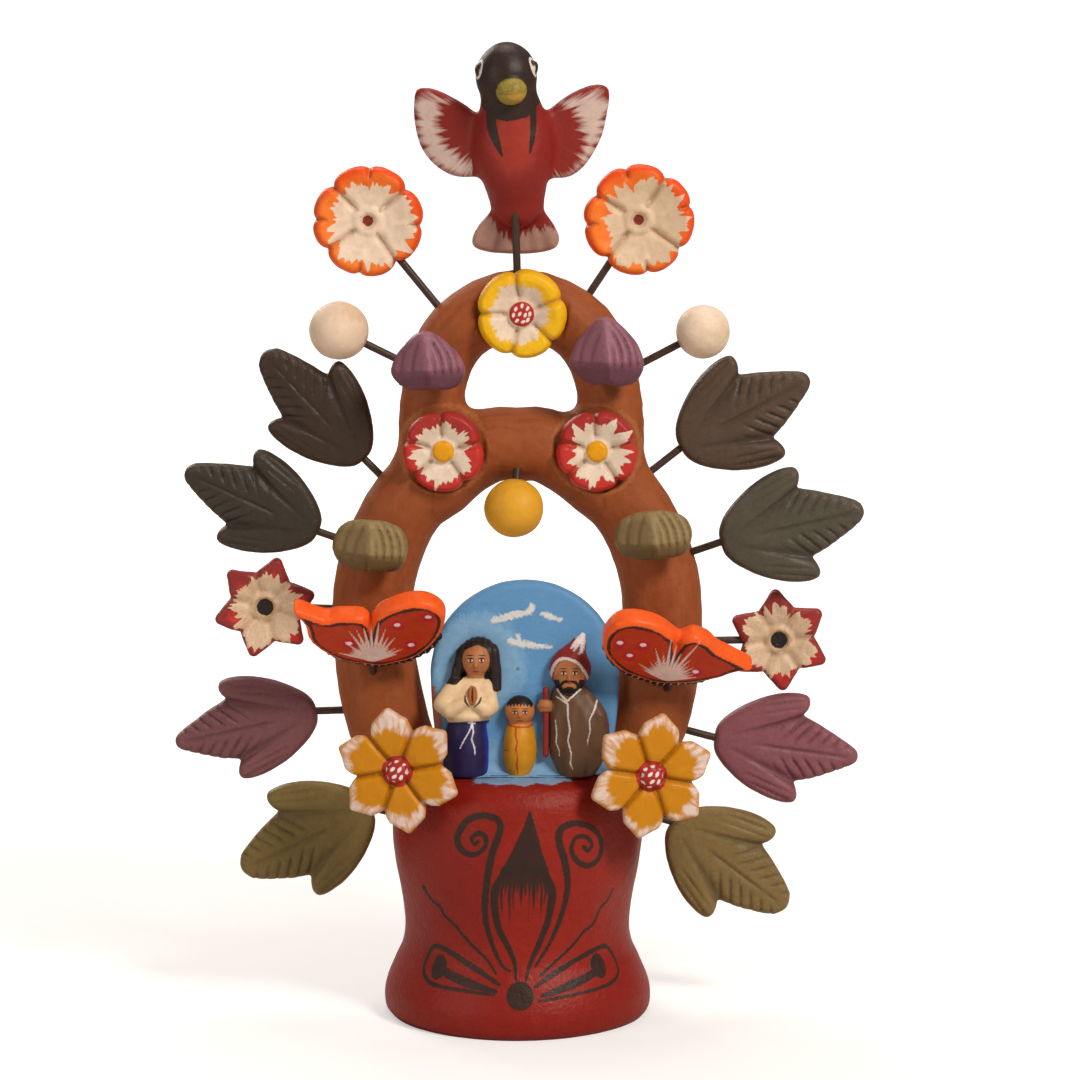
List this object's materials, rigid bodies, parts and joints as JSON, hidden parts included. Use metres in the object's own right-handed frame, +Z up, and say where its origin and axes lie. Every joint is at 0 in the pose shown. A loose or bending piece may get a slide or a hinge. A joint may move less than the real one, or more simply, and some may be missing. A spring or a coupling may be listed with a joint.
{
  "type": "clay tree of life",
  "caption": "Painted clay tree of life: bell base, stacked arches, a niche with three figures, and leaves, flowers, balls, butterflies and a bird on short wires.",
  "frame": {"origin": "centre of the base's bottom face", "axes": "+Z up, -Y towards the viewer of the front, +X to that viewer's right"},
  "size_m": [0.1786, 0.0704, 0.2536],
  "materials": {
    "terracotta": "matt bare clay with a thin wash",
    "base": "satin paint",
    "sky": "satin paint",
    "woman": "satin paint",
    "child": "satin paint",
    "man": "satin paint",
    "staff": "satin paint",
    "red_flower": "satin paint",
    "yellow_flower": "satin paint",
    "orange_flower": "satin paint",
    "red_star": "satin paint",
    "yellow_star": "satin paint",
    "cream": "matt paint",
    "yellow_ball": "satin paint",
    "butterfly": "satin paint",
    "bird": "satin paint",
    "dark_leaf_a": "matt paint",
    "dark_leaf_b": "matt paint",
    "dark_leaf_c": "matt paint",
    "dark_leaf_d": "matt paint",
    "purple_leaf": "matt paint",
    "olive_leaf": "matt paint",
    "purple_small": "matt paint",
    "olive_small": "matt paint",
    "iron": "dark annealed wire, satin"
  },
  "bodies": {
    "tree": {"base": "base", "main_arch": "terracotta", "upper_arch": "terracotta", "niche_panel": "sky", "woman_figure": "woman", "child_figure": "child", "man_figure": "man", "staff": "staff", "red_round_flower_left": "red_flower", "red_round_flower_right": "red_flower", "crown_flower": "yellow_flower"},
    "bird": {"bird": "bird", "bird_wire": "iron"},
    "orange_flower_left": {"orange_flower_left": "orange_flower", "orange_flower_left_wire": "iron"},
    "orange_flower_right": {"orange_flower_right": "orange_flower", "orange_flower_right_wire": "iron"},
    "red_star_flower_left": {"red_star_flower_left": "red_star", "red_star_flower_left_wire": "iron"},
    "red_star_flower_right": {"red_star_flower_right": "red_star", "red_star_flower_right_wire": "iron"},
    "yellow_star_flower_left": {"yellow_star_flower_left": "yellow_star", "yellow_star_flower_left_wire": "iron"},
    "yellow_star_flower_right": {"yellow_star_flower_right": "yellow_star", "yellow_star_flower_right_wire": "iron"},
    "cream_ball_left": {"cream_ball_left": "cream", "cream_ball_left_wire": "iron"},
    "cream_ball_right": {"cream_ball_right": "cream", "cream_ball_right_wire": "iron"},
    "yellow_ball": {"yellow_ball": "yellow_ball", "yellow_ball_wire": "iron"},
    "dark_leaf_upper_left": {"dark_leaf_upper_left": "dark_leaf_a", "dark_leaf_upper_left_wire": "iron"},
    "dark_leaf_lower_left": {"dark_leaf_lower_left": "dark_leaf_b", "dark_leaf_lower_left_wire": "iron"},
    "dark_leaf_upper_right": {"dark_leaf_upper_right": "dark_leaf_c", "dark_leaf_upper_right_wire": "iron"},
    "dark_leaf_lower_right": {"dark_leaf_lower_right": "dark_leaf_d", "dark_leaf_lower_right_wire": "iron"},
    "purple_leaf_left": {"purple_leaf_left": "purple_leaf", "purple_leaf_left_wire": "iron"},
    "purple_leaf_right": {"purple_leaf_right": "purple_leaf", "purple_leaf_right_wire": "iron"},
    "olive_leaf_left": {"olive_leaf_left": "olive_leaf", "olive_leaf_left_wire": "iron"},
    "olive_leaf_right": {"olive_leaf_right": "olive_leaf", "olive_leaf_right_wire": "iron"},
    "small_purple_leaf_left": {"small_purple_leaf_left": "purple_small", "small_purple_leaf_left_wire": "iron"},
    "small_purple_leaf_right": {"small_purple_leaf_right": "purple_small", "small_purple_leaf_right_wire": "iron"},
    "small_olive_leaf_left": {"small_olive_leaf_left": "olive_small", "small_olive_leaf_left_wire": "iron"},
    "small_olive_leaf_right": {"small_olive_leaf_right": "olive_small", "small_olive_leaf_right_wire": "iron"},
    "butterfly_left": {"butterfly_left": "butterfly", "butterfly_left_wire": "iron"},
    "butterfly_right": {"butterfly_right": "butterfly", "butterfly_right_wire": "iron"}
  },
  "joints": [
    {"name": "bird_swivel", "type": "hinge", "parent": "tree", "child": "bird", "pos_m": [0.00006, -0.00325, 0.1946], "axis": [-0.0314, -0.0118, 0.9994], "range_deg": [-20, 20]},
    {"name": "orange_flower_left_swivel", "type": "hinge", "parent": "tree", "child": "orange_flower_left", "pos_m": [-0.02102, 0, 0.18663], "axis": [-0.63, 0, 0.7766], "range_deg": [-12, 12]},
    {"name": "orange_flower_right_swivel", "type": "hinge", "parent": "tree", "child": "orange_flower_right", "pos_m": [0.01836, 0, 0.18867], "axis": [0.5514, 0, 0.8342], "range_deg": [-12, 12]},
    {"name": "red_star_flower_left_swivel", "type": "hinge", "parent": "tree", "child": "red_star_flower_left", "pos_m": [-0.04759, 0.00035, 0.10669], "axis": [-0.9979, 0.0632, 0.0168], "range_deg": [-12, 12]},
    {"name": "red_star_flower_right_swivel", "type": "hinge", "parent": "tree", "child": "red_star_flower_right", "pos_m": [0.04729, 0.00029, 0.09822], "axis": [0.9983, 0.0576, 0.0038], "range_deg": [-12, 12]},
    {"name": "yellow_star_flower_left_swivel", "type": "hinge", "parent": "tree", "child": "yellow_star_flower_left", "pos_m": [-0.0316, -0.01053, 0.07425], "axis": [0.0768, -0.9675, -0.2409], "range_deg": [-12, 12]},
    {"name": "yellow_star_flower_right_swivel", "type": "hinge", "parent": "tree", "child": "yellow_star_flower_right", "pos_m": [0.03246, -0.01051, 0.07319], "axis": [0.0877, -0.9636, -0.2526], "range_deg": [-12, 12]},
    {"name": "cream_ball_left_swivel", "type": "hinge", "parent": "tree", "child": "cream_ball_left", "pos_m": [-0.02884, 0, 0.17099], "axis": [-0.8969, 0, 0.4423], "range_deg": [-15, 15]},
    {"name": "cream_ball_right_swivel", "type": "hinge", "parent": "tree", "child": "cream_ball_right", "pos_m": [0.03018, 0, 0.16991], "axis": [0.8856, 0, 0.4644], "range_deg": [-15, 15]},
    {"name": "yellow_ball_swivel", "type": "hinge", "parent": "tree", "child": "yellow_ball", "pos_m": [-0.00001, -0.00794, 0.14367], "axis": [-0.0766, -0.5848, -0.8076], "range_deg": [-15, 15]},
    {"name": "dark_leaf_upper_left_swivel", "type": "hinge", "parent": "tree", "child": "dark_leaf_upper_left", "pos_m": [-0.03522, 0.0004, 0.14158], "axis": [-0.7088, 0.0788, 0.701], "range_deg": [-10, 10]},
    {"name": "dark_leaf_lower_left_swivel", "type": "hinge", "parent": "tree", "child": "dark_leaf_lower_left", "pos_m": [-0.04391, 0, 0.12433], "axis": [-0.9434, 0, 0.3317], "range_deg": [-10, 10]},
    {"name": "dark_leaf_upper_right_swivel", "type": "hinge", "parent": "tree", "child": "dark_leaf_upper_right", "pos_m": [0.03517, 0.00085, 0.14315], "axis": [0.7848, 0.1768, 0.5939], "range_deg": [-10, 10]},
    {"name": "dark_leaf_lower_right_swivel", "type": "hinge", "parent": "tree", "child": "dark_leaf_lower_right", "pos_m": [0.04533, -0.00298, 0.12224], "axis": [0.8845, -0.3024, 0.3553], "range_deg": [-10, 10]},
    {"name": "purple_leaf_left_swivel", "type": "hinge", "parent": "tree", "child": "purple_leaf_left", "pos_m": [-0.045, 0, 0.07984], "axis": [-0.9995, 0, -0.0315], "range_deg": [-10, 10]},
    {"name": "purple_leaf_right_swivel", "type": "hinge", "parent": "tree", "child": "purple_leaf_right", "pos_m": [0.04362, 0, 0.07466], "axis": [0.9661, 0, -0.2581], "range_deg": [-10, 10]},
    {"name": "olive_leaf_left_swivel", "type": "hinge", "parent": "tree", "child": "olive_leaf_left", "pos_m": [-0.03268, 0, 0.05237], "axis": [-0.9719, 0, 0.2356], "range_deg": [-10, 10]},
    {"name": "olive_leaf_right_swivel", "type": "hinge", "parent": "tree", "child": "olive_leaf_right", "pos_m": [0.03274, 0, 0.05233], "axis": [0.9574, 0, -0.2889], "range_deg": [-10, 10]},
    {"name": "small_purple_leaf_left_swivel", "type": "hinge", "parent": "tree", "child": "small_purple_leaf_left", "pos_m": [-0.02163, -0.00891, 0.17152], "axis": [-0.1802, -0.9584, 0.2212], "range_deg": [-12, 12]},
    {"name": "small_purple_leaf_right_swivel", "type": "hinge", "parent": "tree", "child": "small_purple_leaf_right", "pos_m": [0.02234, -0.00872, 0.17234], "axis": [0.0313, -0.9162, 0.3994], "range_deg": [-12, 12]},
    {"name": "small_olive_leaf_left_swivel", "type": "hinge", "parent": "tree", "child": "small_olive_leaf_left", "pos_m": [-0.03611, -0.00978, 0.12341], "axis": [-0.1985, -0.9313, 0.3054], "range_deg": [-12, 12]},
    {"name": "small_olive_leaf_right_swivel", "type": "hinge", "parent": "tree", "child": "small_olive_leaf_right", "pos_m": [0.03392, -0.00985, 0.12596], "axis": [0.0698, -0.9456, 0.3178], "range_deg": [-12, 12]},
    {"name": "butterfly_left_swivel", "type": "hinge", "parent": "tree", "child": "butterfly_left", "pos_m": [-0.03724, -0.01015, 0.09197], "axis": [0.0291, -0.6765, 0.7358], "range_deg": [-10, 10]},
    {"name": "butterfly_right_swivel", "type": "hinge", "parent": "tree", "child": "butterfly_right", "pos_m": [0.03872, -0.01022, 0.0878], "axis": [0.282, -0.6891, 0.6675], "range_deg": [-10, 10]}
  ]
}
